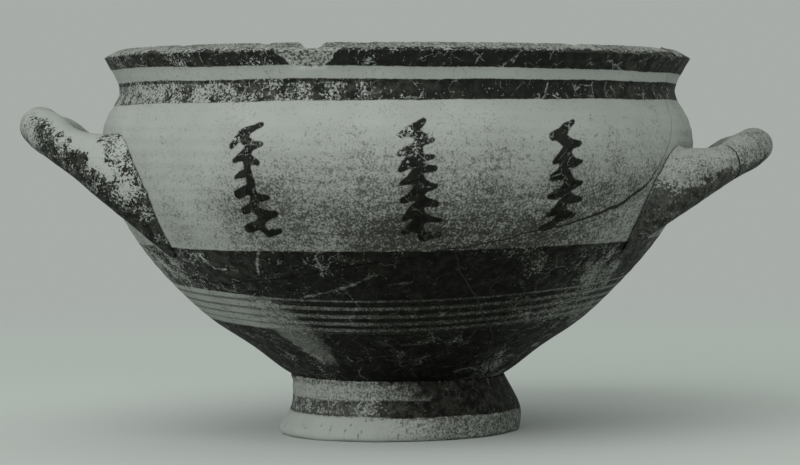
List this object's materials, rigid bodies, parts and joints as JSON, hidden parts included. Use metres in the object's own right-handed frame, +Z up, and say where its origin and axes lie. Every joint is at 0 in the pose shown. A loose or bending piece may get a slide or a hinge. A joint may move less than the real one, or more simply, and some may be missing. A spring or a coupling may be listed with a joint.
{
  "type": "two-handled drinking cup",
  "caption": "Skyphos: deep thrown cup of light clay with dark painted bands and wavy lines, an everted lip, a ring foot and rising loop handles, mended from sherds.",
  "frame": {"origin": "middle of the circle that the foot rests on, at floor level", "axes": "+Z up along the foot's axis, X through the two handles with +X to the right of the front, -Y towards the front"},
  "size_m": [0.1949, 0.153, 0.0998],
  "materials": {
    "wall_clay": "matt light clay with worn dark painted bands",
    "foot_clay": "matt light clay, painted band, worn edge",
    "handle_clay": "matt light clay, dark paint worn off in patches",
    "adhesive": "matt dark glue line, recessed below the surface",
    "slip": "matt fired slip"
  },
  "bodies": {
    "root": {"upper_wall_sherd": "wall_clay", "right_wall_sherd": "wall_clay", "lower_bowl_sherd": "wall_clay", "foot": "foot_clay", "left_handle": "handle_clay", "right_handle_front_root": "handle_clay", "right_handle_back_root": "handle_clay", "right_handle_bow": "handle_clay", "upper_break_adhesive": "adhesive", "lower_break_adhesive": "adhesive", "right_handle_adhesive": "adhesive", "foot_luting": "slip", "left_handle_front_luting": "slip", "left_handle_back_luting": "slip", "right_handle_front_luting": "slip", "right_handle_back_luting": "slip"}
  },
  "joints": []
}
